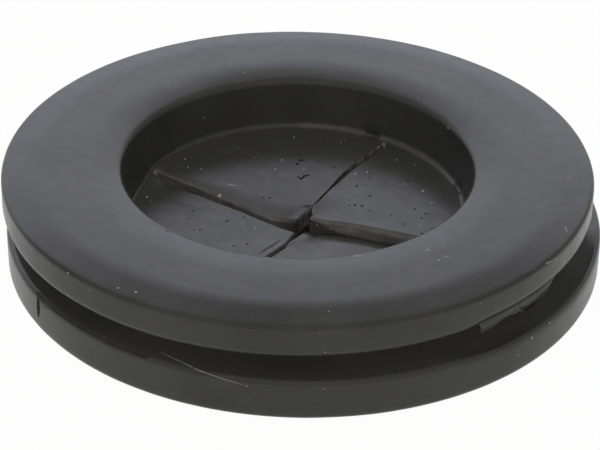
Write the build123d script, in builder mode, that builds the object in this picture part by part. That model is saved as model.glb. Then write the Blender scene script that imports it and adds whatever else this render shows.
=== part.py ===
import os
from math import atan, cos, radians, sin

from build123d import *

os.makedirs("parts", exist_ok=True)

# Upper flange
upper_flange_radius = 18.0
upper_flange_thickness = 2.5
shoulder_height = 0.31
shoulder_width_share = 0.26
shoulder_round = 0.3
upper_lip_round = 0.5

# Panel groove
groove_width = 1.25
groove_floor_radius = 14.0

# Lower flange, which stands on the ground and was moulded a little off the axis
lower_flange_radius = 18.24
lower_flange_thickness = 2.62
lower_flange_shift_x = 0.35
lower_flange_shift_y = 0.22
foot_round = 0.45
lower_lip_round = 0.27

# Bore
bore_radius = 10.68
rim_fall = 0.25
rim_fall_width_share = 0.315
rim_edge_round = 0.47
recess_edge_round = 0.35

# Membrane that closes the bore
membrane_top = 2.82
membrane_thickness = 1.2
membrane_fillet = 0.45
membrane_land = 0.15
flap_root = 0.15

# Cross slit, cut by hand: its four arms run to the land and pass the middle on one side
slit_middle_x = 0.75
slit_middle_y = -0.55
slit_gap = 0.2
slit_arm_angles = [11.5, 90.0, 177.0, 270.0]
slit_arm_offsets = [0.12, 0.45, 0.75, 0.29]

# How far the flap after each arm hangs, and the width over which it bends down
flap_drops = [0.06, 0.06, 0.55, 0.8]
flap_bend_width = 7.0

full_turn = 360
groove_top = lower_flange_thickness + groove_width
ring_height = groove_top + upper_flange_thickness
rim_width = upper_flange_radius - bore_radius
shoulder_width = rim_width * shoulder_width_share
rim_fall_width = rim_width * rim_fall_width_share
rim_slope = 2 * atan(rim_fall / rim_fall_width)
rim_edge_radius = bore_radius + rim_edge_round * (1 - sin(rim_slope))
rim_edge_top = ring_height - rim_fall
rim_edge_bottom = rim_edge_top - rim_edge_round * cos(rim_slope)
flange_root_radius = (bore_radius + groove_floor_radius) / 2
membrane_bottom = membrane_top - membrane_thickness
land_radius = bore_radius - membrane_fillet - membrane_land
root_radius = land_radius + flap_root
bend_radius = land_radius - flap_bend_width


def arm_point(along, aside, angle):
    """A point in plan beside one arm of the slit, measured from the middle of the slit."""
    turn = radians(angle)
    return (
        slit_middle_x + along * cos(turn) - aside * sin(turn),
        slit_middle_y + along * sin(turn) + aside * cos(turn),
    )


def flap_plan(first_angle, first_aside, last_angle, last_aside):
    """The corners of a flap in plan: its tip, where its two cut sides meet, and its far side past the bore."""
    opening = radians(last_angle - first_angle)
    tip = (first_aside * cos(opening) - last_aside) / sin(opening)
    reach = bore_radius + upper_flange_radius
    return [
        arm_point(tip, first_aside, first_angle),
        arm_point(reach, first_aside, first_angle),
        arm_point(reach, 0, (first_angle + last_angle) / 2),
        arm_point(reach, last_aside, last_angle),
    ]


# Flaps of the membrane, each a sector of a dish that is bent down near its root
flaps = []
for index, drop in enumerate(flap_drops):
    after = (index + 1) % len(flap_drops)
    turns = full_turn if after == 0 else 0
    plan = flap_plan(
        slit_arm_angles[index],
        slit_arm_offsets[index] + slit_gap / 2,
        slit_arm_angles[after] + turns,
        slit_arm_offsets[after] - slit_gap / 2,
    )
    with BuildPart() as flap:
        with BuildSketch(Plane.XZ):
            with BuildLine():
                upper_face = Line((0, membrane_top - drop), (bend_radius, membrane_top - drop))
                upper_bend = Spline(
                    upper_face @ 1,
                    (land_radius, membrane_top),
                    tangents=[(1, 0), (1, 0)],
                )
                root = Polyline(
                    upper_bend @ 1,
                    (root_radius, membrane_top),
                    (root_radius, membrane_bottom),
                    (land_radius, membrane_bottom),
                )
                lower_bend = Spline(
                    root @ 1,
                    (bend_radius, membrane_bottom - drop),
                    tangents=[(-1, 0), (-1, 0)],
                )
                lower_face = Polyline(
                    lower_bend @ 1,
                    (0, membrane_bottom - drop),
                    upper_face @ 0,
                )
            make_face()
        revolve(axis=Axis.Z)
        with BuildSketch():
            Polygon(*plan, align=None)
        extrude(amount=ring_height, mode=Mode.INTERSECT)
    flaps.append(flap.part)

with BuildPart() as sealing_ring:
    # Neck, upper flange, bore and the land that the flaps grow from
    with BuildSketch(Plane.XZ):
        with BuildLine():
            groove = Polyline(
                (bore_radius + recess_edge_round, 0),
                (groove_floor_radius, 0),
                (groove_floor_radius, groove_top),
                (upper_flange_radius - upper_lip_round, groove_top),
            )
            upper_lip = RadiusArc(
                groove @ 1,
                (upper_flange_radius, groove_top + upper_lip_round),
                -upper_lip_round,
            )
            shoulder = FilletPolyline(
                upper_lip @ 1,
                (upper_flange_radius, ring_height - shoulder_height),
                (upper_flange_radius - shoulder_width, ring_height),
                (rim_edge_radius + rim_fall_width, ring_height),
                radius=shoulder_round,
            )
            rim = TangentArc(
                shoulder @ 1,
                (rim_edge_radius, rim_edge_top),
                tangent=(-1, 0),
            )
            rim_edge = TangentArc(
                rim @ 1,
                (bore_radius, rim_edge_bottom),
                tangent=rim % 1,
            )
            bore_wall = Line(rim_edge @ 1, (bore_radius, membrane_top + membrane_fillet))
            upper_fillet = RadiusArc(
                bore_wall @ 1,
                (bore_radius - membrane_fillet, membrane_top),
                membrane_fillet,
            )
            land = Polyline(
                upper_fillet @ 1,
                (land_radius, membrane_top),
                (land_radius, membrane_bottom),
                (bore_radius - membrane_fillet, membrane_bottom),
            )
            lower_fillet = RadiusArc(
                land @ 1,
                (bore_radius, membrane_bottom - membrane_fillet),
                membrane_fillet,
            )
            recess_wall = Line(lower_fillet @ 1, (bore_radius, recess_edge_round))
            recess_edge = RadiusArc(recess_wall @ 1, groove @ 0, -recess_edge_round)
        make_face()
    revolve(axis=Axis.Z)

    # Lower flange on its own axis
    flange_centre = (lower_flange_shift_x, lower_flange_shift_y, 0)
    with BuildSketch(Plane(flange_centre, x_dir=(1, 0, 0), z_dir=(0, -1, 0))):
        with BuildLine():
            foot = Line((flange_root_radius, 0), (lower_flange_radius - foot_round, 0))
            foot_edge = RadiusArc(foot @ 1, (lower_flange_radius, foot_round), -foot_round)
            lower_wall = Line(
                foot_edge @ 1,
                (lower_flange_radius, lower_flange_thickness - lower_lip_round),
            )
            lower_lip = RadiusArc(
                lower_wall @ 1,
                (lower_flange_radius - lower_lip_round, lower_flange_thickness),
                -lower_lip_round,
            )
            flange_top = Polyline(
                lower_lip @ 1,
                (flange_root_radius, lower_flange_thickness),
                foot @ 0,
            )
        make_face()
    revolve(axis=Axis(flange_centre, (0, 0, 1)))

    # Flaps
    add(flaps)

sealing_ring.part.label = "sealing_ring"
export_step(sealing_ring.part, "parts/sealing_ring.step")
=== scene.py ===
from math import atan, atan2, cos, degrees, pi, radians, sin, sqrt

import bmesh
import bpy
import numpy as np
from mathutils import Matrix, Vector, noise
from mathutils.bvhtree import BVHTree


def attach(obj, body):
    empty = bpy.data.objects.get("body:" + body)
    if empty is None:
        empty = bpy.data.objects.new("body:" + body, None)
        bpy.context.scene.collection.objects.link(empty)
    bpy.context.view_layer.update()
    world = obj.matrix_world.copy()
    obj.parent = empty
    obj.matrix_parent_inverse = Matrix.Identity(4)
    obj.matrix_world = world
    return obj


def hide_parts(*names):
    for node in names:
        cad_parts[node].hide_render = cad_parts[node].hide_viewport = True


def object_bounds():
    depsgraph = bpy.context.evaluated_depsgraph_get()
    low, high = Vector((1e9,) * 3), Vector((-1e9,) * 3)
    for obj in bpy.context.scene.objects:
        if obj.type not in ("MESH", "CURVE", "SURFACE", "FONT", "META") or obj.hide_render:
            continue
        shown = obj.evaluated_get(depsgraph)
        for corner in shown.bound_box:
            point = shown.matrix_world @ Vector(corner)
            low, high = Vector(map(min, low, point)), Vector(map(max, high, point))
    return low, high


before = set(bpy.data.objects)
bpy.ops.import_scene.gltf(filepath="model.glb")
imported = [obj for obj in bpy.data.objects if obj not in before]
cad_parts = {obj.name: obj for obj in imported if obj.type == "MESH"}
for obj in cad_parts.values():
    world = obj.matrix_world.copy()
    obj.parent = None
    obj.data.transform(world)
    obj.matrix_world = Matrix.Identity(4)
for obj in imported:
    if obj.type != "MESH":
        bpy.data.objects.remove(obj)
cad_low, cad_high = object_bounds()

MM = 0.001
full_turn = 2 * pi
scene = bpy.context.scene

# The ring's own sizes, in millimetres as in its source
upper_flange_radius = 18.0
upper_flange_thickness = 2.5
shoulder_height = 0.31
shoulder_width_share = 0.26
shoulder_round = 0.3
upper_lip_round = 0.5
groove_width = 1.25
groove_floor_radius = 14.0
lower_flange_radius = 18.24
lower_flange_thickness = 2.62
lower_flange_shift = (0.35, 0.22)
lower_lip_round = 0.27
foot_round = 0.45
bore_radius = 10.68
rim_fall = 0.25
rim_fall_width_share = 0.315
rim_edge_round = 0.47
recess_edge_round = 0.35
membrane_top = 2.82
membrane_thickness = 1.2
membrane_fillet = 0.45
membrane_land = 0.15
slit_middle = (0.75, -0.55)
slit_gap = 0.2
slit_arm_angles = [11.5, 90.0, 177.0, 270.0]
slit_arm_offsets = [0.12, 0.45, 0.75, 0.29]
flap_bend_width = 7.0

groove_top = lower_flange_thickness + groove_width
ring_height = groove_top + upper_flange_thickness
rim_width = upper_flange_radius - bore_radius
shoulder_width = rim_width * shoulder_width_share
shoulder_slope = shoulder_height / shoulder_width
rim_fall_width = rim_width * rim_fall_width_share
rim_slope = 2 * atan(rim_fall / rim_fall_width)
rim_edge_radius = bore_radius + rim_edge_round * (1 - sin(rim_slope))
rim_edge_bottom = ring_height - rim_fall - rim_edge_round * cos(rim_slope)
rim_bow = (rim_fall_width ** 2 + rim_fall ** 2) / (2 * rim_fall)
membrane_bottom = membrane_top - membrane_thickness
land_radius = bore_radius - membrane_fillet - membrane_land

# Forms of the section that only the visual model has
shoulder_bend = 0.55
bore_draft, drafted_fillet = 0.2, 0.38

# Camera of the photograph
picture_width, picture_height = 600, 450
camera_lens, camera_sensor, camera_nearest = 135.0, 36.0, 0.01
camera_azimuth, camera_elevation, camera_roll = radians(31.6), radians(30.933), radians(0.744)
camera_distance, camera_target_height = 138.75, 3.0
camera_aim_right, camera_aim_up = 2.729, -19.192

focal = camera_lens / camera_sensor * picture_width
pixel_size = camera_distance / focal
right = Vector((cos(camera_azimuth), sin(camera_azimuth), 0))
away = Vector((-sin(camera_azimuth), cos(camera_azimuth), 0))
backward = Vector((0, 0, 1)) * sin(camera_elevation) - away * cos(camera_elevation)
camera_place = backward * camera_distance + Vector((0, 0, camera_target_height))
upright = right.cross(-backward)
turned_right = right * cos(camera_roll) + upright * sin(camera_roll)
turned_up = upright * cos(camera_roll) - right * sin(camera_roll)
look = (-backward * focal + turned_right * camera_aim_right + turned_up * camera_aim_up).normalized()
look_right = (turned_right - look * turned_right.dot(look)).normalized()
look_up = look_right.cross(look)


def pixel_ray(x, y):
    """The direction from the camera through a pixel of the photograph."""
    ray = look * focal + look_right * (x - picture_width / 2) - look_up * (y - picture_height / 2)
    return ray.normalized()


def on_cylinder(x, y, radius, centre=(0, 0), far=False):
    """The turn and height at which a pixel's ray meets an upright cylinder."""
    ray = pixel_ray(x, y)
    start = camera_place - Vector((*centre, 0))
    a = ray.x ** 2 + ray.y ** 2
    b = start.x * ray.x + start.y * ray.y
    c = start.x ** 2 + start.y ** 2 - radius ** 2
    reach = (-b + sqrt(b * b - a * c) * (1 if far else -1)) / a
    spot = start + ray * reach
    return atan2(spot.y, spot.x) % full_turn, spot.z


def turns_of(marks, radius, far=False):
    """The turns at which the rays of some pixels meet a cylinder round the ring's axis."""
    return [on_cylinder(x, y, radius, far=far)[0] for x, y in marks]


def smooth_step(value):
    value = np.clip(value, 0.0, 1.0)
    return value * value * (3 - 2 * value)


def between(first, last, share):
    return first + (last - first) * share


def ripple(turn, size, seed):
    """Noise round the ring at the rim's radius, with bumps of about that size."""
    reach = upper_flange_radius / size
    return noise.noise(Vector((cos(turn) * reach, sin(turn) * reach, seed)))


def near_zero(turn):
    """A turn between minus and plus half a round."""
    return (turn + pi) % full_turn - pi


def window(turn, first, last, fade):
    """One between two turns, the shorter way round, fading to nothing on both sides."""
    half = near_zero(last - first) / 2
    off = abs(near_zero(turn - first - half))
    return float(smooth_step((abs(half) + fade - off) / fade))


# Rows of the ring's section, from the land's upper edge round the outside to its lower edge
rows = []
no_part, bore_part, upper_part, lower_part = range(4)
still, inward, upward, downward = (0.0, 0.0), (-1.0, 0.0), (0.0, 1.0), (0.0, -1.0)


def row(radius, height, shift=0.0, gouge=0.0, land=0.0, swell=still, part=no_part, wear_and_highlight=0.0):
    """Adds a row: its place, then its shares in the shift, gouges, hang, swell, and wear and painted
    highlight of the ring.
    """
    rows.append((radius, height, shift, gouge, land, *swell, part, wear_and_highlight))


def run(start, end, steps, shift=(0.0, 0.0), land=0.0, swells=(still, still), part=no_part):
    """A straight stretch of the section."""
    for share in np.linspace(0, 1, steps + 1)[1:]:
        swell = tuple(between(a, b, share) for a, b in zip(*swells))
        row(between(start[0], end[0], share), between(start[1], end[1], share), between(*shift, share),
            0.0, land, swell, part)


def bow(middle, radius, first, last, steps, shift=0.0, gouge=0.0, land=(0.0, 0.0), part=no_part,
        rise=1, wear_and_highlight=0.0):
    """An arc of the section; as a part that swells, it keeps touching the walls on both sides of it."""
    for share in np.linspace(0, 1, steps + 1)[1:]:
        angle = radians(between(first, last, share))
        swell = (cos(angle) - 1, sin(angle) + rise) if part else still
        row(middle[0] + radius * cos(angle), middle[1] + radius * sin(angle), shift,
            gouge * sin(pi * share), between(*land, share), swell, part, wear_and_highlight * sin(pi * share))


bend_start = upper_flange_radius - shoulder_width - shoulder_bend
bend_end = bend_start + 2 * shoulder_bend
bend_steps = 8
corner_radius = upper_flange_radius - shoulder_round
corner_height = ring_height - (shoulder_width - shoulder_round) * shoulder_slope
corner_height -= shoulder_round * sqrt(1 + shoulder_slope ** 2)
corner_turn = 90 - degrees(atan(shoulder_slope))
corner_start = (corner_radius + shoulder_round * cos(radians(corner_turn)),
                corner_height + shoulder_round * sin(radians(corner_turn)))
bore_foot = bore_radius - bore_draft
fillet = (bore_foot - drafted_fillet, membrane_top + drafted_fillet)
rim_start, rim_turn = rim_edge_radius + rim_fall_width, 90 + degrees(rim_slope)
upper_lip = (upper_flange_radius - upper_lip_round, groove_top + upper_lip_round)
lower_lip = (lower_flange_radius - lower_lip_round, lower_flange_thickness - lower_lip_round)
foot_edge = (lower_flange_radius - foot_round, foot_round)
recess_edge = (bore_radius + recess_edge_round, recess_edge_round)
lower_fillet = (bore_radius - membrane_fillet, membrane_bottom - membrane_fillet)

row(land_radius, membrane_top, land=1.0)
run((land_radius, membrane_top), (fillet[0], membrane_top), steps=2, land=1.0, swells=(still, inward),
    part=bore_part)
bow(fillet, drafted_fillet, -90, 0, steps=10, gouge=1.0, land=(1.0, 0.0), part=bore_part)
run((bore_foot, fillet[1]), (bore_radius, rim_edge_bottom), steps=6, swells=(upward, still), part=bore_part)
# The rim's edge round carries the worn patch and the painted highlight along the mouth's front edge.
bow((bore_radius + rim_edge_round, rim_edge_bottom), rim_edge_round, 180, rim_turn, steps=12, wear_and_highlight=1.0)
bow((rim_start, ring_height - rim_bow), rim_bow, rim_turn, 90, steps=10)
run((rim_start, ring_height), (bend_start, ring_height), steps=5)
for radius in np.linspace(bend_start, bend_end, bend_steps + 1)[1:]:
    row(radius, ring_height - shoulder_slope * (radius - bend_start) ** 2 / (4 * shoulder_bend))
run(rows[-1][:2], corner_start, steps=4)
bow((corner_radius, corner_height), shoulder_round, corner_turn, 0, steps=8)
run((upper_flange_radius, corner_height), (upper_flange_radius, upper_lip[1]), steps=5,
    swells=(still, upward), part=upper_part)
bow(upper_lip, upper_lip_round, 0, -90, steps=10, part=upper_part)
run((upper_lip[0], groove_top), (groove_floor_radius, groove_top), steps=3, swells=(inward, still),
    part=upper_part)
run((groove_floor_radius, groove_top), (groove_floor_radius, lower_flange_thickness), steps=4)
run((groove_floor_radius, lower_flange_thickness), (lower_lip[0], lower_flange_thickness), steps=5,
    shift=(0.0, 1.0), swells=(still, inward), part=lower_part)
bow(lower_lip, lower_lip_round, 90, 0, steps=9, shift=1.0, part=lower_part, rise=-1)
run((lower_flange_radius, lower_lip[1]), (lower_flange_radius, foot_round), steps=6, shift=(1.0, 1.0),
    swells=(downward, still), part=lower_part)
bow(foot_edge, foot_round, 0, -90, steps=6, shift=1.0)
run((foot_edge[0], 0), (recess_edge[0], 0), steps=3, shift=(1.0, 0.0))
bow(recess_edge, recess_edge_round, -90, -180, steps=4)
run((bore_radius, recess_edge_round), (bore_radius, lower_fillet[1]), steps=2)
bow(lower_fillet, membrane_fillet, 0, 90, steps=3, land=(0.0, 1.0))
run((lower_fillet[0], membrane_bottom), (land_radius, membrane_bottom), steps=2, land=1.0)
radii, heights, shifts, gouges, lands, outs, ups, swell_parts, wear_and_highlight_rows = np.array(rows).T
swell_parts = swell_parts.astype(int)

# How each flap hangs: along its root, by angles from its first side, towards its middle, and at its tip
visual_drops = [0.06, 0.06, 0.53, 0.6]
root_hangs = [[(0, 0)], [(0, 0)], [(0, 0.25), (8, 0.45), (60, 0.5), (88, 0)], [(20, 0), (60, 0.75)]]
even_bend = [(0, flap_bend_width)]
root_bends = [even_bend, even_bend, [(0, 1.0), (5, 1.0), (30, flap_bend_width)], even_bend]
root_before = pi / 4
bend_mix = 0.4
tip_droops = [0.22, 0.42, 0.15, 0.2]
droop_reaches = [1.6, 5.5, 4.0, 2.0]
droop_powers = [2.0, 1.2, 2.0, 2.0]

# How each flap is cut: for the side at the arm before it and the side at the arm after it
tip_widths = [(0.2, 0.06), (0.06, 2.0), (0.06, 0.1), (0.06, 2.0)]
end_widths = [(0.2, 0.06), (0.06, 0.5), (0.06, 0.1), (0.06, 0.35)]
tip_falls = [(0.12, 0.06), (0.06, 0.16), (0.06, 0.14), (0.06, 0.2)]
end_falls = [(0.26, 0.06), (0.06, 0.12), (0.06, 0.14), (0.06, 0.2)]
tip_fall, roll_power = 0.06, 1.7
foot_shifts = [(-0.06, -0.12), (-0.08, 0.13), (0.2, 0.08), (0.13, 0.05)]
edge_parts = [(0.0, 0.1), (0.1, 0.0), (0.0, 0.0), (0.0, 0.0)]
arm_bows = [0.0, 0.2, 0.0, 0.0]
bow_middle, bow_reach = 0.6, 0.42
tip_moves = [(0.45, 0.3), (0.0, 0.56), (-0.2, 0.1), (-0.17, -0.45)]
tip_reach, tip_ease, root_ease = 1.6, 0.8, 0.4

# How ragged the cuts are: strengths, sizes in millimetres and seeds of the noise
edge_rags = [(0.03, 0.11), (0.11, 0.03), (0.02, 0.03), (0.02, 0.02)]
wiggle_size, wiggle_length, wiggle_seed, wiggle_seed_step = 0.05, 1.6, 3.1, 2.3
rag_length, rag_seed, rag_flap_step = 0.45, 7.7, 3
fine_rag_length, fine_rag_seed, fine_rag_share = 0.16, 17.1, 0.7
streak_share, streak_length, streak_slant, streak_least = 0.35, 0.3, 0.3, 0.5
streak_seed, streak_over_step, streak_side_step = 31, 9, 5
face_rag, face_length, face_seed, face_down_step = 0.02, 0.25, 41, 5
seed_plane = 0.37

# How pale the cuts are, along each flap's sides and down their faces, where the tone turns darker deeper in
# the slit as painted shade
cut_shares = [(0.62, 0.2), (0.4, 0.5), (0.3, 0.2), (0.3, 0.0)]
cut_tips = (1.0, 0.15, 1.0, 1.0)
cut_edges = [(0.7, 0.7), (0.7, 6.0), (0.7, 0.7), (0.7, 0.7)]
cut_places = (0.0, 1.2, 2.5, 4.0, 5.5, 8.0)
cut_depths = [(0.05, 0.12, 0.62, 0.75, 0.58, 0.5), (0.12,) * 6, (0.3,) * 6, (0.3,) * 6]
cut_hold, cut_floors = 0.75, (0.2, 0.8, 0.4, 0.3)
tint_streaks, tint_length = 0.8, 1.4
tint_seed, tint_over_step, tint_down_step, tint_side_step = 53, 11, 17, 3

edge_steps, face_steps, fan_steps, arc_steps, fine, gap_steps = 5, 7, 36, 96, 4, 2
fan_power = 3
points, faces, cut_and_painted_light_values = [], [], []


def add_points(added, cut_and_painted_light):
    first = len(points)
    added = np.asarray(added, float).reshape(-1, 3)
    points.extend(map(tuple, added))
    cut_and_painted_light_values.extend(np.broadcast_to(cut_and_painted_light, len(added)).tolist())
    return first


def add_grid(grid, cut_and_painted_light=0.0):
    """Adds a grid of points, rows by columns, and its four-sided faces."""
    grid = np.asarray(grid, float)
    high, wide = grid.shape[:2]
    first = add_points(grid, cut_and_painted_light)
    for i in range(high - 1):
        for j in range(wide - 1):
            a = first + i * wide + j
            faces.append((a, a + 1, a + wide + 1, a + wide))


def add_seam(coarse, dense, cut_and_painted_light=0.0):
    """Joins a line of points to a line that has several times as many steps."""
    a = add_points(coarse, 0.0)
    b = add_points(dense, cut_and_painted_light)
    half = fine // 2
    for i in range(len(coarse) - 1):
        for k in range(fine):
            faces.append((a + i + (k >= half), b + fine * i + k, b + fine * i + k + 1))
        faces.append((a + i, b + fine * i + half, a + i + 1))


def arm_point(along, aside, angle):
    """A point in plan beside one arm of the slit, measured from the middle of the slit."""
    turn = radians(angle)
    return np.array((slit_middle[0] + along * cos(turn) - aside * sin(turn),
                     slit_middle[1] + along * sin(turn) + aside * cos(turn)))


def arm_end(aside, angle):
    """The turn at which one side of an arm meets the land."""
    start = arm_point(0, aside, angle)
    heading = np.array((cos(radians(angle)), sin(radians(angle))))
    half = float(start @ heading)
    end = start + heading * (-half + sqrt(half * half - float(start @ start) + land_radius ** 2))
    return atan2(end[1], end[0])


def meeting(first_aside, first_angle, last_aside, last_angle):
    """Where the two sides of a flap meet at its tip."""
    opening = radians(last_angle - first_angle)
    return arm_point((first_aside * cos(opening) - last_aside) / sin(opening), first_aside, first_angle)


def lift(place, height):
    return np.concatenate([place, height[..., None]], axis=-1)


def on_land(turns):
    return land_radius * np.stack([np.cos(turns), np.sin(turns)], axis=-1)


def rough_line(lengths, size, seed):
    return np.array([noise.noise(Vector((length / size, seed, seed_plane * seed))) for length in lengths])


coarse_spread = np.linspace(0, 1, fan_steps + 1)
fine_spread = np.linspace(0, 1, fan_steps * fine + 1)
profile = np.linspace(0, 1, edge_steps + 1)
arm_middle = smooth_step(1 - np.abs(fine_spread - bow_middle) / bow_reach)


def add_flap(index):
    """Adds one flap; gives the turns along its root and how far the root hangs at each."""
    after = (index + 1) % len(visual_drops)
    angles = (slit_arm_angles[index], slit_arm_angles[after] + (360 if after == 0 else 0))
    widths, ends, move = tip_widths[index], end_widths[index], np.array(tip_moves[index])
    feet = (slit_arm_offsets[index] + slit_gap / 2 + foot_shifts[index][0],
            slit_arm_offsets[after] - slit_gap / 2 + foot_shifts[index][1])
    inner_tip = meeting(feet[0] + widths[0], angles[0], feet[1] - widths[1], angles[1]) + move
    tip = meeting(feet[0], angles[0], feet[1], angles[1]) + move
    inner_turns = [arm_end(feet[0] + ends[0], angles[0]), arm_end(feet[1] - ends[1], angles[1])]
    foot_turns = [arm_end(feet[0], angles[0]), arm_end(feet[1], angles[1])]
    for turns in (inner_turns, foot_turns):
        turns[1] += full_turn if turns[1] < turns[0] else 0
    foot_turns = [turn - full_turn * round((turn - near) / full_turn)
                  for turn, near in zip(foot_turns, inner_turns)]

    def root_value(turn, table):
        """A value along the flap's root, eased between knots given in degrees from its first side."""
        off = np.degrees((np.asarray(turn) - inner_turns[0] + root_before) % full_turn - root_before)
        value = np.full(off.shape, float(table[0][1]))
        for (start, low), (end, high) in zip(table, table[1:]):
            value = value + (high - low) * smooth_step((off - start) / (end - start))
        return value

    def root_hang(turn):
        return root_value(turn, root_hangs[index])

    def sag(place):
        """How far the flap hangs at each place in plan."""
        turn = np.arctan2(place[..., 1], place[..., 0])
        reach = root_value(turn, root_bends[index])
        share = np.clip((land_radius - np.hypot(place[..., 0], place[..., 1])) / reach, 0, 1)
        share = share * (1 - bend_mix) + smooth_step(share) * bend_mix
        off = np.hypot(place[..., 0] - tip[0], place[..., 1] - tip[1])
        droop = tip_droops[index] * np.exp(-(off / droop_reaches[index]) ** droop_powers[index])
        return between(root_hang(turn), visual_drops[index], share) + droop

    def side_line(side):
        """One side's length, outward direction, places, eased ends, and bend, in which the knife wavers."""
        end = on_land(inner_turns[side])
        length = float(np.linalg.norm(end - inner_tip))
        heading = (end - inner_tip) / length
        outward = np.array((heading[1], -heading[0])) * (1 if side == 0 else -1)
        lengths = fine_spread * length
        ease = smooth_step(lengths / tip_ease) * smooth_step((length - lengths) / root_ease)
        arm = index if side == 0 else after
        across = np.array((-sin(radians(angles[side])), cos(radians(angles[side]))))
        seed = wiggle_seed + wiggle_seed_step * arm
        waver = wiggle_size * ease * rough_line(lengths, wiggle_length, seed) + arm_bows[arm] * arm_middle
        moved = fine_spread - smooth_step(lengths / tip_reach)
        return length, outward, lengths, ease, across * waver[:, None] + move * moved[:, None]

    def cut_tint(side, lengths, over, down):
        """How pale a cut is along one line of it: streaked, and fading darker downwards into the slit as
        painted shade.
        """
        seed = tint_seed + tint_over_step * over + tint_down_step * down + index + tint_side_step * side
        streaks = 1 + tint_streaks * rough_line(lengths, tint_length, seed)
        depth = np.interp(lengths, cut_places, cut_depths[index])
        ends = between(cut_tips[index], 1, smooth_step(lengths / tip_reach))
        # Painted shade: the pale tone falls off towards the bottom of each cut face, down to its floor
        # share.
        fade = (1 - cut_floors[index]) * smooth_step((down / depth - cut_hold) / (1 - cut_hold))
        edge = over ** cut_edges[index][side]
        return np.clip(cut_shares[index][side] * streaks * edge * (1 - fade) * ends, 0, 1)

    arc = np.linspace(inner_turns[0], inner_turns[1], arc_steps + 1)
    lines = [side_line(side) for side in (0, 1)]
    weight = np.linspace(1, 0, arc_steps + 1)[None, :, None] ** fan_power
    fan = between(inner_tip, on_land(arc)[None], coarse_spread[:, None, None])
    fan = fan + lines[0][-1][::fine, None] * weight + lines[1][-1][::fine, None] * weight[:, ::-1]
    top = lift(fan, membrane_top - sag(fan))
    top[-1, :, 2] = membrane_top - root_hang(arc)
    add_grid(top[:, 1:-1])

    bottoms = []
    for side, (length, outward, lengths, ease, bend) in enumerate(lines):
        rag = edge_rags[index][side]
        ragged = rough_line(lengths, rag_length, rag_seed + rag_flap_step * index + side)
        finely = rough_line(lengths, fine_rag_length, fine_rag_seed + rag_flap_step * index + side)
        ragged = ragged + fine_rag_share * finely
        parting = edge_parts[index][side] * arm_middle
        start = between(inner_tip, on_land(inner_turns[side]), fine_spread[:, None]) + bend
        border = between(tip, on_land(foot_turns[side]), fine_spread[:, None]) + bend
        border = border + outward * (rag * ragged * ease - parting)[:, None]
        fall = between(tip_falls[index][side], end_falls[index][side], fine_spread)
        fall = between(tip_fall, fall, smooth_step(lengths / tip_ease))
        fall = fall * smooth_step((length - lengths) / root_ease)
        streaked = cut_shares[index][side] > streak_least

        strip, tints = [], []
        for share in profile:
            place = between(start, border, share)
            root_turn = between(inner_turns[side], foot_turns[side], share)
            place[-1] = on_land(root_turn)
            seed = streak_seed + streak_over_step * share + index + streak_side_step * side
            streak = rough_line(lengths + streak_slant * share, streak_length, seed)
            streak = streak_share * rag * streak * ease * share
            height = membrane_top - sag(place) - fall * share ** roll_power - streak * streaked
            height[-1] = membrane_top - root_hang(root_turn)
            strip.append(lift(place, height))
            tints.append(cut_tint(side, lengths, share, 0.0))
        brink, top_line = strip[-1][:, :2], strip[-1][:, 2]
        bottom_line = membrane_bottom - sag(brink)
        bottom_line[-1] = membrane_bottom - root_hang(foot_turns[side])
        for step in range(1, face_steps + 1):
            share = step / face_steps
            seed = face_seed + face_down_step * share + index + side
            push = face_rag * rough_line(lengths, face_length, seed) * ease * (step < face_steps)
            strip.append(lift(brink + outward * push[:, None], between(top_line, bottom_line, share)))
            tints.append(cut_tint(side, lengths, 1.0, share))
        strip = np.stack(strip, axis=1)
        add_grid(strip, np.stack(tints, axis=1).ravel())
        add_seam(top[:, 1 if side == 0 else -2], strip[:, 0])
        bottoms.append(strip[:, -1])

    before_turns = between(inner_turns[0], foot_turns[0], profile[::-1])
    after_turns = between(inner_turns[1], foot_turns[1], profile)
    turns = np.concatenate([before_turns[:-1], arc, after_turns[1:]])
    base = between(tip, on_land(turns)[None], coarse_spread[:, None, None])
    base = lift(base, membrane_bottom - sag(base))
    base[-1, :, 2] = membrane_bottom - root_hang(turns)
    add_grid(base[:, 1:-1])
    add_seam(base[:, 1], bottoms[0], 1.0)
    add_seam(base[:, -2], bottoms[1], 1.0)
    return turns, root_hang(turns)


columns = [add_flap(index) for index in range(len(visual_drops))]

# Ends of the slit in the land, and the ring's columns, which share the flaps' edges
levels = np.linspace(membrane_top, membrane_bottom, face_steps + 1)
all_columns, all_hangs = [], []
for (turns, hangs), (next_turns, next_hangs) in zip(columns, columns[1:] + columns[:1]):
    next_start = turns[-1] + (next_turns[0] - turns[-1]) % full_turn
    gap = np.linspace(turns[-1], next_start, gap_steps + 1)
    gap_hangs = np.linspace(hangs[-1], next_hangs[0], gap_steps + 1)
    add_grid([[(land_radius * cos(turn), land_radius * sin(turn), level - hang)
               for turn, hang in zip(gap, gap_hangs)] for level in levels], 1.0)
    all_columns.extend([*turns, *gap[1:-1]])
    all_hangs.extend([*hangs, *gap_hangs[1:-1]])
all_columns.append(all_columns[0] + full_turn)
all_hangs.append(all_hangs[0])

# The body of the ring. Its inner fillet is frayed, gouged at two places and sharper on one side; at the
# back it is duller and painted paler as a soft painted highlight. Its mouth has a painted highlight along
# its front edge and a worn patch at its front left, and its lips are rounder at one side, where the lower
# one dips.
# A noise is given as its size in millimetres and its seed.
fillet_rag, fillet_noise = 0.025, (0.8, 6.1)
gouge_marks, gouge_depths = [((367, 137), (380, 138)), ((461, 178), (465, 192))], (0.16, 0.12)
gouge_fade, gouge_base, gouge_vary, gouge_noise = radians(0.7), 0.8, 0.5, (0.5, 2.9)
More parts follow.
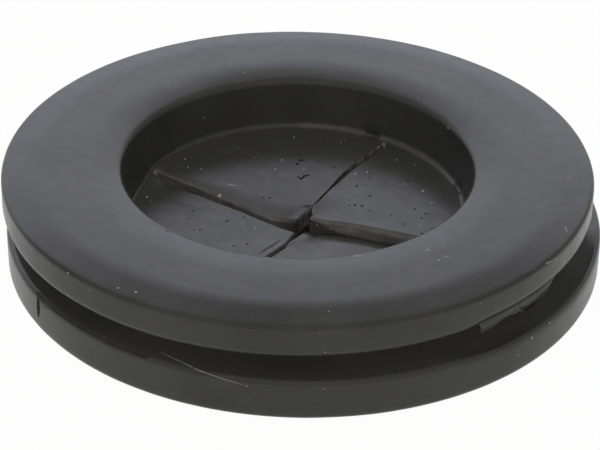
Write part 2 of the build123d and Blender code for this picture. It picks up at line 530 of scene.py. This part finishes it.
# At the back the fillet is rougher and painted paler, the paler tone being a painted soft highlight of its
# round.
fillet_matt_and_highlight, matt_turns, matt_fade = 0.14, (radians(25), radians(119)), radians(4)
sharp_fillet, sharp_turns, sharp_fade = -0.3, (radians(180), radians(260)), radians(18)
# The mouth's front edge is painted paler as a highlight; the scuff patch at its front left is wear.
rim_highlight_marks, rim_highlight_fade, rim_highlight = ((140, 205), (450, 215)), radians(15), 0.28
scuff_marks, scuff_fade, rim_scuff = ((158, 229), (182, 241)), radians(3), 0.4
wear_and_highlight_base, wear_and_highlight_vary, wear_and_highlight_noise = 0.75, 0.5, (0.6, 7.3)
lip_marks, lip_inset, upper_fade, lower_fade = ((490, 318), (580, 255)), 0.3, radians(7), radians(12)
upper_round, upper_swell, lower_round, lower_more, lower_dip = 0.15, 0.35, 0.1, 0.1, 0.3

gouge_turns = [turns_of(marks, bore_radius, far=True) for marks in gouge_marks]
rim_highlight_turns, scuff_turns = turns_of(rim_highlight_marks, bore_radius), turns_of(scuff_marks, bore_radius)
lip_turns = turns_of(lip_marks, upper_flange_radius - lip_inset)
dip_shares = np.hypot(outs, ups) * (swell_parts == lower_part)
grid = np.zeros((len(rows), len(all_columns), 3))
matt_and_highlight = np.zeros(grid.shape[:2])
for j, (turn, hang) in enumerate(zip(all_columns, all_hangs)):
    gouge = fillet_rag * ripple(turn, *fillet_noise)
    # The fillet's paler tone here is a painted soft highlight.
    pale = fillet_matt_and_highlight * window(turn, *matt_turns, matt_fade)
    for (first, last), deep in zip(gouge_turns, gouge_depths):
        torn_out = window(turn, first, last, gouge_fade)
        gouge += deep * torn_out * (gouge_base + gouge_vary * ripple(turn, *gouge_noise))
        pale *= 1 - torn_out
    wear_and_highlight = rim_highlight * window(turn, *rim_highlight_turns, rim_highlight_fade)
    wear_and_highlight += rim_scuff * window(turn, *scuff_turns, scuff_fade)
    matt_and_highlight[:, j] = pale * gouges + wear_and_highlight * (wear_and_highlight_base + wear_and_highlight_vary * ripple(turn, *wear_and_highlight_noise)) * wear_and_highlight_rows
    swollen, dipped = window(turn, *lip_turns, upper_fade), window(turn, *lip_turns, lower_fade)
    swell = np.array((0.0, sharp_fillet * window(turn, *sharp_turns, sharp_fade),
                      upper_round + upper_swell * swollen, lower_round + lower_more * dipped))[swell_parts]
    radius = radii + gouges * gouge + outs * swell
    grid[:, j, 0] = radius * cos(turn) + shifts * lower_flange_shift[0]
    grid[:, j, 1] = radius * sin(turn) + shifts * lower_flange_shift[1]
    grid[:, j, 2] = heights - gouges * gouge - lands * hang + ups * swell
    grid[:, j, 2] -= lower_dip * dipped * dip_shares
add_grid(grid, matt_and_highlight.ravel())

weld_reach, sliver_reach = 0.0015, 0.0004


def make_piece(name, corners, polygons, material, values=None):
    """Makes one piece of rubber from points in millimetres, welded, with its normals outwards."""
    mesh = bpy.data.meshes.new(name)
    body = bmesh.new()
    layer = body.verts.layers.float.new("cut_and_painted_light")
    made = [body.verts.new(corner) for corner in corners]
    for vertex, value in zip(made, values if values is not None else np.zeros(len(corners))):
        vertex[layer] = value
    for polygon in polygons:
        body.faces.new([made[i] for i in polygon])
    bmesh.ops.remove_doubles(body, verts=body.verts, dist=weld_reach)
    bmesh.ops.dissolve_degenerate(body, dist=sliver_reach, edges=body.edges)
    bmesh.ops.recalc_face_normals(body, faces=body.faces)
    body.to_mesh(mesh)
    body.free()
    mesh.materials.append(material)
    piece = bpy.data.objects.new(name, mesh)
    scene.collection.objects.link(piece)
    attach(piece, "root")
    return piece


def scale_piece(piece, place):
    """Puts points in millimetres back into a piece in metres, kept inside the solid's own box."""
    place = np.clip(place, np.array(cad_low) / MM, np.array(cad_high) / MM)
    piece.data.vertices.foreach_set("co", (place * MM).astype(np.float32).ravel())
    piece.data.update()
    piece.data.shade_smooth()
    return place


def piece_points(piece):
    place = np.zeros(len(piece.data.vertices) * 3, np.float32)
    piece.data.vertices.foreach_get("co", place)
    return place.reshape(-1, 3).astype(float)


def lay_piece(*made_from):
    piece = make_piece(*made_from)
    scale_piece(piece, piece_points(piece))


# Materials
def new_material(name):
    material = bpy.data.materials.new(name)
    material.use_nodes = True
    tree = material.node_tree
    return material, tree, tree.nodes["Principled BSDF"]


def node(tree, kind, **values):
    made = tree.nodes.new(kind)
    for key, value in values.items():
        setattr(made, key, value)
    return made


def noise_texture(tree, size, detail):
    """Noise in the object's own coordinates with features of about that size in millimetres."""
    where = node(tree, "ShaderNodeTexCoord")
    made = node(tree, "ShaderNodeTexNoise")
    made.inputs["Scale"].default_value = 1 / (size * MM)
    made.inputs["Detail"].default_value = detail
    tree.links.new(where.outputs["Object"], made.inputs["Vector"])
    return made.outputs["Fac"]


def ramp(tree, source, span, to_span=(0.0, 1.0), kind="LINEAR"):
    """A value's way through one span, carried over to another."""
    made = node(tree, "ShaderNodeMapRange", interpolation_type=kind)
    for key, value in zip(("From Min", "From Max", "To Min", "To Max"), (*span, *to_span)):
        made.inputs[key].default_value = value
    tree.links.new(source, made.inputs["Value"])
    return made.outputs["Result"]


def put(tree, value, socket):
    """Links a socket to another, or sets it to a colour or number."""
    if hasattr(value, "is_linked"):
        tree.links.new(value, socket)
    else:
        socket.default_value = (*value, 1) if isinstance(value, tuple) else value


def math_of(tree, operation, first, second):
    made = node(tree, "ShaderNodeMath", operation=operation)
    put(tree, first, made.inputs[0])
    put(tree, second, made.inputs[1])
    return made.outputs[0]


def mix(tree, share, first, second, kind="RGBA"):
    """A mix of two colours, or with kind FLOAT of two numbers."""
    made = node(tree, "ShaderNodeMix", data_type=kind)
    wanted = "RGBA" if kind == "RGBA" else "VALUE"
    put(tree, share, made.inputs["Factor"])
    sockets = {s.name: s for s in made.inputs if s.type == wanted and s.name in "AB"}
    put(tree, first, sockets["A"])
    put(tree, second, sockets["B"])
    return [s for s in made.outputs if s.type == wanted][0]


# Rubber, clouded and finely grained, and paler and duller where it is cut or worn, and where its paler tone
# is a painted highlight; cut faces turn darker down into the slit as painted shade.
# A noise in a material is given as its size in millimetres and its detail.
dark, bloom = (0.026, 0.026, 0.0255), (0.034, 0.034, 0.0334)
powder, cut_and_highlight_tone = (0.11, 0.11, 0.108), (0.157, 0.156, 0.152)
cloud_noise, mottle_noise, grain_noise, finish_detail = (5.0, 3.0), (0.8, 4.0), (0.12, 2.0), 3.0
cloud_span, mottle_span, grain_span = (0.35, 0.65), (0.3, 0.7), (0.66, 0.8)
powder_shares, torn_shares = (0.0, 0.5), (0.6, 1.0)
gloss_roughness, cut_roughness, rubber_ior = (0.27, 0.34), 0.6, 1.35
grain_strength, grain_height = 0.5, 0.004

rubber, tree, shader = new_material("black_rubber")
cloud = noise_texture(tree, *cloud_noise)
mottle = noise_texture(tree, *mottle_noise)
grain = noise_texture(tree, *grain_noise)
# The attribute mixes in the paler tone: for cut rubber and wear, for painted highlights, and less of it
# deep in the slit as painted shade.
cut_and_painted_light_share = node(tree, "ShaderNodeAttribute", attribute_name="cut_and_painted_light").outputs["Fac"]
tone = mix(tree, ramp(tree, cloud, cloud_span), dark, bloom)
tone = mix(tree, ramp(tree, grain, grain_span, powder_shares), tone, powder)
torn = ramp(tree, mottle, mottle_span, torn_shares)
tone = mix(tree, math_of(tree, "MULTIPLY", cut_and_painted_light_share, torn), tone, cut_and_highlight_tone)
put(tree, tone, shader.inputs["Base Color"])
gloss = ramp(tree, mottle, mottle_span, gloss_roughness)
put(tree, mix(tree, cut_and_painted_light_share, gloss, cut_roughness, "FLOAT"), shader.inputs["Roughness"])
shader.inputs["IOR"].default_value = rubber_ior
relief = node(tree, "ShaderNodeBump")
relief.inputs["Strength"].default_value = grain_strength
relief.inputs["Distance"].default_value = grain_height * MM
put(tree, grain, relief.inputs["Height"])
put(tree, relief.outputs["Normal"], shader.inputs["Normal"])


def plain_finish(name, first, second, size, roughness, ior):
    """A matt finish whose tone varies between two colours over a length in millimetres."""
    material, tree, shader = new_material(name)
    tone = mix(tree, ramp(tree, noise_texture(tree, size, finish_detail), mottle_span), first, second)
    put(tree, tone, shader.inputs["Base Color"])
    shader.inputs["Roughness"].default_value = roughness
    shader.inputs["IOR"].default_value = ior
    return material


dust = plain_finish("pale_dust", (0.16, 0.16, 0.155), (0.45, 0.45, 0.44),
                    size=0.3, roughness=0.8, ior=1.3)
# A pale finish for scuffs, and for a painted highlight on the mouth's edge.
scuff_and_highlight = plain_finish("scuffed_rubber_and_highlight", (0.11, 0.11, 0.108), (0.2, 0.2, 0.196),
                     size=0.25, roughness=0.6, ior=1.35)
pit = plain_finish("dark_pit", (0.012, 0.012, 0.0118), (0.022, 0.022, 0.0216),
                   size=0.2, roughness=0.8, ior=1.15)
dull = plain_finish("dull_rubber", (0.022, 0.022, 0.0216), (0.04, 0.04, 0.0392),
                    size=0.3, roughness=0.7, ior=1.25)
green = plain_finish("green_speck", (0.02, 0.09, 0.06), (0.05, 0.16, 0.11),
                     size=0.1, roughness=0.6, ior=1.3)

# One closed mesh, whose skin waves a little inwards, so that the ring keeps its size
wave_large, wave_large_size, wave_small, wave_small_size = 0.014, 4.5, 0.006, 1.3
wave_inset, wave_most = 0.008, 0.004
ring = make_piece("ring_rubber", points, faces, rubber, cut_and_painted_light_values)
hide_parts("sealing_ring")
place = piece_points(ring)
normals = np.array([vertex.normal for vertex in ring.data.vertices])
depth = np.zeros(len(place))
for i, spot in enumerate(map(Vector, place)):
    depth[i] = (wave_large * noise.noise(spot / wave_large_size)
                + wave_small * noise.noise(spot / wave_small_size) - wave_inset)
place = scale_piece(ring, place + normals * np.minimum(depth, wave_most)[:, None])
surface = BVHTree.FromPolygons([tuple(p) for p in place], [tuple(f.vertices) for f in ring.data.polygons])


def seen_at(x, y):
    """The place and normal on the ring that the camera sees at a pixel of the photograph."""
    spot, facing, _, _ = surface.ray_cast(camera_place, pixel_ray(x, y))
    return spot, facing


def tube_polygons(count, wide, closed):
    """Faces of a tube of sections with that many points each, which is a loop or has two ends."""
    polygons = [(i * wide + k, i * wide + (k + 1) % wide,
                 (i + 1) % count * wide + (k + 1) % wide, (i + 1) % count * wide + k)
                for i in range(count if closed else count - 1) for k in range(wide)]
    if not closed:
        polygons += [tuple(range(wide)), tuple(range((count - 1) * wide, count * wide))]
    return polygons


# Flash that hangs from the upper flange's lip: ragged all round, torn and longer on one side, where its
# free edge is paler, partly as torn rubber and partly as a painted highlight
flash_radius, flash_thickness, flash_root, flash_lean = 17.5, 0.07, 0.12, -0.3
flash_steps, flash_fade = 1800, radians(1.5)
flash_hang, flash_rag, flash_inset = -0.06, 0.09, flash_root / 3
flash_noises = ((1.0, 0.9, 1.7), (0.6, 0.3, 4.2), (0.3, 0.12, 9.9))
flash_edge, flash_pale = 0.03, 0.05
torn_root, torn_edge, torn_face, torn_rag, torn_noise = 0.25, 0.1, 0.03, 0.02, (0.2, 3.3)
torn_pale_and_highlight, torn_pale_and_highlight_vary, torn_pale_and_highlight_noise = 0.6, 0.5, (0.5, 6.6)
pale_edge_share, outer_rim_share, inner_rim_share, inner_flare_share = 0.6, 0.7, 0.2, 0.8
torn_trace = [(484, 333.5), (490, 329.5), (497, 325), (500, 322.5), (505, 318.5), (511, 315), (518, 313.5),
              (521, 310.5), (527, 311.5), (531, 310.5), (534, 307.5), (538, 306.7), (541, 301.5),
              (546, 296.5), (550, 291)]
torn_spots = [on_cylinder(x, y, flash_radius) for x, y in torn_trace]
torn_spots = sorted((near_zero(turn), height) for turn, height in torn_spots)
torn_turns, torn_heights = map(np.array, zip(*torn_spots))
lean_gain = 1 / (1 + flash_lean * sin(camera_elevation) / cos(camera_elevation))
torn_hangs = (groove_top - torn_heights) * lean_gain
corners, values = [], []
for turn in np.linspace(0, full_turn, flash_steps, endpoint=False):
    ragged = sum(share * ripple(turn, size, seed) for share, size, seed in flash_noises)
    hang = flash_hang + flash_rag * ragged
    inside = window(turn, torn_turns[0], torn_turns[-1], flash_fade)
    torn = np.interp(near_zero(turn), torn_turns, torn_hangs) + torn_rag * ripple(turn, *torn_noise)
    hang = max(hang, 0.0) * (1 - inside) + max(torn, 0.0) * inside - flash_inset
    root = flash_root + torn_root * inside
    # The paler free edge is partly torn rubber and partly a painted highlight.
    pale = flash_pale + inside * (torn_pale_and_highlight + torn_pale_and_highlight_vary * ripple(turn, *torn_pale_and_highlight_noise))
    edge = flash_edge + torn_edge * inside
    flare = flash_lean * max(hang - edge, 0.0)
    face = torn_face * inside
    for out, height, value in ((flash_thickness, root, face),
                               (flash_thickness + flare, -hang + edge, face),
                               (flash_thickness + flare, -hang + pale_edge_share * edge, pale),
                               (outer_rim_share * flash_thickness + flare, -hang, pale),
                               (inner_rim_share * flash_thickness + flare, -hang, pale),
                               (flare * inner_flare_share, -hang + flash_edge, flash_pale),
                               (0.0, root, 0.0)):
        reach = flash_radius - flash_thickness / 2 + out
        corners.append((reach * cos(turn), reach * sin(turn), groove_top + height))
        values.append(value)
flash_points = len(corners) // flash_steps
lay_piece("flash_fringe", corners, tube_polygons(flash_steps, flash_points, True), rubber, values)

# A torn strip along the lower flange's upper edge, which stands out by an uneven amount
strip_out, strip_steps, strip_fade = 0.03, 420, 0.03
strip_rag, strip_noise = 0.03, (0.25, 5.5)
stand_most, stand_base, stand_vary, stand_noise = 0.07, 0.6, 0.4, (0.7, 8.1)
strip_insets, strip_depths = (0.3, 0.17, 0.07, 0.06, 0.07, 0.2), (0.08, 0.02, 0.12)
strip_trace = [(35, 297), (40, 301), (47, 308), (54, 313), (66, 321), (80, 330), (88, 334.5), (103, 342.5),
               (118, 349.5), (138, 357), (146, 357.5)]
strip_radius = lower_flange_radius + strip_out
strip_spots = sorted(on_cylinder(x, y, strip_radius, lower_flange_shift) for x, y in strip_trace)
strip_turns = np.linspace(strip_spots[0][0], strip_spots[-1][0], strip_steps)
strip_feet = np.interp(strip_turns, *zip(*strip_spots))
corners = []
for turn, foot in zip(strip_turns, strip_feet):
    ends = smooth_step((turn - strip_turns[0]) / strip_fade)
    ends *= smooth_step((strip_turns[-1] - turn) / strip_fade)
    foot += strip_rag * ripple(turn, *strip_noise)
    stand = stand_most * ((stand_base + stand_vary * ripple(turn, *stand_noise)) * ends)
    strip_heights = [lower_flange_thickness - below for below in strip_depths]
    strip_heights += [(lower_flange_thickness + foot) / 2, foot, foot + strip_rag]
    for inset, out, height in zip(strip_insets, (0, 0, 0, stand, stand, 0), strip_heights):
        reach = strip_radius - (inset - out)
        corners.append((lower_flange_shift[0] + reach * cos(turn),
                        lower_flange_shift[1] + reach * sin(turn), height))
lay_piece("torn_strip", corners, tube_polygons(strip_steps, len(strip_insets), False), dull)

# Marks: ribbons and dots laid on the skin where the photograph shows them
mark_lift = 0.006
dot_stretch, dot_rag, dot_crown, crown_height = (0.7, 1.0), (0.8, 1.15), 0.6, 0.8
dot_sides, ribbon_rag, ribbon_step, ribbon_least = 8, 0.4, 0.7, 3
ribbon_end, ribbon_power, ribbon_drift = 0.12, 0.5, 0.3
width_length, drift_length, drift_plane = 2.5, 4, 5
break_width, break_step = 6, 8
mark_seed = 20
rng = np.random.default_rng(mark_seed)


class Marks:
    """Points and faces of many small marks that make one piece."""

    def __init__(self):
        self.corners, self.polygons = [], []

    def dot(self, spot, facing, radius, height=0.0, sides=dot_sides):
        """An uneven dot on the skin, flat or domed."""
        facing = Vector(facing).normalized()
        across = facing.orthogonal().normalized()
        beside = facing.cross(across)
        turn, stretch = rng.uniform(0, full_turn), rng.uniform(*dot_stretch)
        first = len(self.corners)
        low, middle, top = (0.0, height * crown_height, height) if height else (mark_lift,) * 3
        for share, rise in ((1.0, low), (dot_crown, middle)):
            for k in range(sides):
                angle = full_turn * k / sides
                reach = radius * share * rng.uniform(*dot_rag)
                flat = across * cos(angle + turn) * reach + beside * sin(angle + turn) * reach * stretch
                self.corners.append(tuple(spot + flat + facing * rise))
        self.corners.append(tuple(spot + facing * top))
        inner = first + sides
        for k in range(sides):
            after = (k + 1) % sides
            self.polygons.append((first + k, first + after, inner + after, inner + k))
            self.polygons.append((inner + k, inner + after, inner + sides))

    def ribbon(self, trace, wide, seed):
        """A ragged ribbon along a line of pixels, so many pixels wide; it breaks where the skin does."""
        trace = np.array(trace, float)
        lengths = np.concatenate([[0], np.cumsum(np.hypot(*np.diff(trace, axis=0).T))])
        samples = np.linspace(0, lengths[-1], max(int(lengths[-1] / ribbon_step), ribbon_least) + 1)
        xs, ys = np.interp(samples, lengths, trace[:, 0]), np.interp(samples, lengths, trace[:, 1])
        dx, dy = np.gradient(xs), np.gradient(ys)
        previous = None
        for i, sample in enumerate(samples):
            size = sqrt(dx[i] ** 2 + dy[i] ** 2)
            half = wide / 2 * (ribbon_end + sin(pi * (sample / lengths[-1])) ** ribbon_power)
            half *= 1 + ribbon_rag * noise.noise(Vector((sample / width_length, seed, 0)))
            drift = Vector((sample / drift_length, seed, drift_plane))
            drift = ribbon_drift * wide * ribbon_rag * noise.noise(drift)
            pair = []
            for reach in (half + drift, -half + drift):
                spot, facing = seen_at(xs[i] - dy[i] / size * reach, ys[i] + dx[i] / size * reach)
                if spot is not None:
                    pair.append(spot + facing * mark_lift)
            if len(pair) < 2 or (pair[0] - pair[1]).length > break_width * wide * pixel_size:
                previous = None
                continue
            first = len(self.corners)
            self.corners.extend(tuple(p) for p in pair)
            if previous is not None:
                gone = (Vector(self.corners[previous]) - pair[0]).length
                if gone < break_step * ribbon_step * pixel_size:
                    self.polygons.append((previous, first, first + 1, previous + 1))
            previous = first

    def ribbons(self, lines, seed, seed_step):
        for number, (trace, wide) in enumerate(lines):
            self.ribbon(trace, wide, seed + number * seed_step)

    def finish(self, name, material):
        lay_piece(name, self.corners, self.polygons, material)


# Pixels of the marks, each with its width in pixels
grain_marks = [
    (185, 159, 2), (282, 160, 2), (275, 169, 2), (147, 197, 2.2), (214, 221, 2), (243, 223, 1.8),
    (255, 228, 2), (423, 191, 3), (415, 165, 1.6), (397, 160, 1.6), (367, 172, 2), (355, 174, 2),
    (348, 208, 2), (432, 203, 2), (404, 184, 2), (317, 225, 1.8), (188, 167, 1.6), (201, 169, 1.5),
    (213, 207, 1.6), (219, 212, 1.6), (304, 169, 1.6), (448, 128, 2), (353, 163, 1.4), (420, 226, 1.8),
    (68, 295, 2), (118, 288, 2.2), (136, 292, 2.2), (68, 273, 1.6), (120, 269, 1.6), (532, 338, 2.4),
    (517.7, 355, 2), (549.6, 323, 1.8), (247.6, 386, 1.8), (219, 196, 3)]
pore_marks = [
    (193, 211, 3), (227, 221, 3), (244, 217, 3), (200, 230, 2.6), (194, 230, 2), (234, 246, 2.6),
    (247, 244, 3), (218, 241.5, 2), (169, 193, 2), (171, 199, 2), (168, 209, 2), (188, 219, 2),
    (167, 231, 2.2), (230, 179, 2), (263, 198, 2.4), (270, 198, 2.4), (268, 159, 2.6), (370, 173, 2),
    (370, 178, 3), (357, 186, 3), (363, 185, 2), (367, 185, 2), (370, 196, 3), (408, 181, 3),
    (355, 205, 3), (349.5, 205.5, 2), (362, 206, 3), (370, 210.5, 2.4), (415, 209, 3), (425, 214, 2.4),
    (429, 214, 2), (421.5, 218, 3), (391, 215, 2), (404, 224, 2.6), (422, 233.5, 2.6), (432, 228, 2.4),
    (334, 167, 2.4), (319, 161, 2), (343, 168, 2)]
dark_lines = [
    ([(297, 176), (301, 179), (304, 176.5), (310, 174.5)], 1.8), ([(296, 164.5), (299, 163)], 2),
    ([(298, 160), (304, 160.3)], 1.6), ([(38, 296), (38.3, 306), (38.6, 317)], 2.6)]
# The second dull line is a dull, darker sheet painted as the shadow under the torn strip's foot.
dull_and_shadow_lines = [([(281, 240), (269, 247.5), (258, 254)], 1.4), ([(41, 302), (47, 308.5)], 3.2)]
# The first pale line, on the mouth's front edge, is a painted highlight; the rest are pale marks.
pale_and_highlight_lines = [
    ([(353, 256.5), (358, 256), (363, 255.5)], 2.4), ([(227, 184), (233, 185.5), (237, 185.5)], 1.4),
    ([(424, 251), (430, 249.5)], 1.6), ([(444, 257), (450, 256)], 1.5), ([(437, 260.5), (441, 260)], 1.4),
    ([(8, 249), (9, 253), (11, 257)], 2.2), ([(564, 226), (566, 229), (567, 232)], 1.8),
    ([(545, 264), (552, 261), (559, 257)], 1.6), ([(160, 352), (200, 371), (225, 379.5), (247, 386)], 0.9),
    ([(219, 194), (221, 197.5)], 3), ([(377, 146.5), (380, 147.5)], 1.6), ([(383, 145), (385, 147.5)], 1.6)]
green_mark, green_size, green_height = (204, 118), 1.6, 0.5
pore_share, grain_share, grain_rise = 0.55, 0.5, 0.3
dark_seeds, dull_seeds, pale_seeds = (0, 1.7), (30, 1.9), (50, 2.3)

pits = Marks()
for x, y, size in pore_marks:
    pits.dot(*seen_at(x, y), pore_share * size * pixel_size)
pits.ribbons(dark_lines, *dark_seeds)
pits.finish("pit_marks", pit)

# Dull marks: a dull line by the slit, and a painted shadow under the torn strip.
dulls_and_shadow = Marks()
dulls_and_shadow.ribbons(dull_and_shadow_lines, *dull_seeds)
dulls_and_shadow.finish("dull_marks", dull)

scuffs_and_highlight = Marks()
scuffs_and_highlight.ribbons(pale_and_highlight_lines, *pale_seeds)
scuffs_and_highlight.finish("pale_scuffs", scuff_and_highlight)

# Dust: the grains that the photograph shows, and loose ones on the top and, each fourth, on the sides
loose_grains, side_grain = 420, 4
loose_least, loose_more, loose_power, loose_rise, loose_sides, loose_low = 0.012, 0.03, 2.5, 0.6, 6, 0.3
grains = Marks()
for x, y, size in grain_marks:
    grains.dot(*seen_at(x, y), grain_share * size * pixel_size, grain_rise * size * pixel_size)
for number in range(loose_grains):
    turn, size = rng.uniform(0, full_turn), loose_least + loose_more * rng.random() ** loose_power
    if number % side_grain:
        reach = upper_flange_radius * sqrt(rng.random())
        start, ray = Vector((reach * cos(turn), reach * sin(turn), 2 * ring_height)), Vector((0, 0, -1))
    else:
        reach = 2 * upper_flange_radius
        start = Vector((reach * cos(turn), reach * sin(turn), rng.uniform(loose_low, ring_height)))
        ray = Vector((-cos(turn), -sin(turn), 0))
    spot, facing, _, _ = surface.ray_cast(start, ray)
    if spot is not None:
        grains.dot(spot, facing, size, loose_rise * size, sides=loose_sides)
grains.finish("dust_grains", dust)

fleck = Marks()
fleck.dot(*seen_at(*green_mark), green_size * pixel_size, green_height * pixel_size)
fleck.finish("green_fleck", green)

# Floor, a pale sheet that the camera and the gloss see as white, painted dark under the ring as its shadow,
# where it does not glow
floor_half, floor_noise, floor_roughness = 1500, (2.0, 2.0), 0.9
floor_tones, floor_painted_shadow, floor_glow = ((0.84, 0.84, 0.82), (0.86, 0.86, 0.84)), (0.01, 0.01, 0.01), 0.95
floor_covered = (15, 17)
covered_span = [reach * MM for reach in floor_covered]
floor_mesh = bpy.data.meshes.new("floor")
floor_corners = [(x * floor_half * MM, y * floor_half * MM, 0)
                 for x, y in ((-1, -1), (1, -1), (1, 1), (-1, 1))]
floor_mesh.from_pydata(floor_corners, [], [tuple(range(len(floor_corners)))])
floor = bpy.data.objects.new("floor", floor_mesh)
scene.collection.objects.link(floor)
paper, tree, shader = new_material("pale_floor")
pale = mix(tree, noise_texture(tree, *floor_noise), *floor_tones)
shader.inputs["Roughness"].default_value = floor_roughness
shader.inputs["Specular IOR Level"].default_value = 0.0
path = node(tree, "ShaderNodeLightPath")
seen = math_of(tree, "MAXIMUM", path.outputs["Is Camera Ray"], path.outputs["Is Glossy Ray"])
off = node(tree, "ShaderNodeVectorMath", operation="LENGTH")
put(tree, node(tree, "ShaderNodeTexCoord").outputs["Object"], off.inputs[0])
uncovered = ramp(tree, off.outputs["Value"], covered_span)
# Painted shadow: the floor's colour and glow turn dark under the ring.
put(tree, mix(tree, uncovered, floor_painted_shadow, pale), shader.inputs["Base Color"])
glow = ramp(tree, off.outputs["Value"], covered_span, (0.0, floor_glow))
white = node(tree, "ShaderNodeEmission")
white.inputs["Color"].default_value = (1, 1, 1, 1)
white.inputs["Strength"].default_value = 1.0
shown = node(tree, "ShaderNodeMixShader")
put(tree, math_of(tree, "MULTIPLY", seen, glow), shown.inputs[0])
put(tree, shader.outputs[0], shown.inputs[1])
put(tree, white.outputs[0], shown.inputs[2])
put(tree, shown.outputs[0], tree.nodes["Material Output"].inputs["Surface"])
floor_mesh.materials.append(paper)

# Light: a tent that is bright low down behind the ring and dimmer overhead and in front
tent_low, tent_back, tent_front = 0.77, 2.15, 0.4
tent_turn, tent_rise, tent_top, tent_sides = radians(12), 0.57, (0.588, 0.731), (0.45, 0.8)
back_tint, front_tint = Vector((0.97, 0.985, 1.12)), Vector((1.0, 1.0, 0.95))
scene.world = world = bpy.data.worlds.new("tent")
world.use_nodes = True
tree = world.node_tree
where = node(tree, "ShaderNodeTexCoord").outputs["Generated"]
axes = node(tree, "ShaderNodeSeparateXYZ")
put(tree, where, axes.inputs["Vector"])
height = axes.outputs["Z"]
facing = node(tree, "ShaderNodeVectorMath", operation="DOT_PRODUCT")
facing.inputs[1].default_value = away * cos(tent_turn) - right * sin(tent_turn)
put(tree, where, facing.inputs[0])
behind = math_of(tree, "MULTIPLY", ramp(tree, height, tent_top, (1.0, 0.0), "SMOOTHSTEP"),
                 ramp(tree, facing.outputs["Value"], tent_sides, kind="SMOOTHSTEP"))
rise = mix(tree, ramp(tree, height, (0.0, tent_rise)),
           tuple(tent_low * back_tint), tuple(tent_back * back_tint))
glow = mix(tree, behind, tuple(tent_front * front_tint), rise)
path = node(tree, "ShaderNodeLightPath")
sky = mix(tree, path.outputs["Is Camera Ray"], glow, (1.0, 1.0, 1.0))
put(tree, sky, tree.nodes["Background"].inputs["Color"])

# Fill light from the front, soft and without shadows, that reaches into the groove and the bore
fill_elevation = radians(50.0)
fill = bpy.data.lights.new("fill", "SUN")
fill.energy = 1.75
fill.color = (1.0, 0.97, 0.9)
fill.angle = radians(40)
fill.use_shadow = False
fill.specular_factor = 0.0
fill_object = bpy.data.objects.new("fill", fill)
fill_from = -away * cos(fill_elevation) + Vector((0, 0, sin(fill_elevation)))
fill_object.rotation_mode = "QUATERNION"
fill_object.rotation_quaternion = fill_from.to_track_quat("Z", "Y")
fill_object.visible_glossy = False
scene.collection.objects.link(fill_object)

# Camera
lens = bpy.data.cameras.new("camera")
lens.lens = camera_lens
lens.sensor_width = camera_sensor
lens.clip_start = camera_nearest
camera = bpy.data.objects.new("camera", lens)
camera_axes = Matrix((look_right, look_up, -look)).transposed()
camera.matrix_world = Matrix.Translation(camera_place * MM) @ camera_axes.to_4x4()
scene.collection.objects.link(camera)
scene.camera = camera
scene.view_settings.view_transform = "Standard"
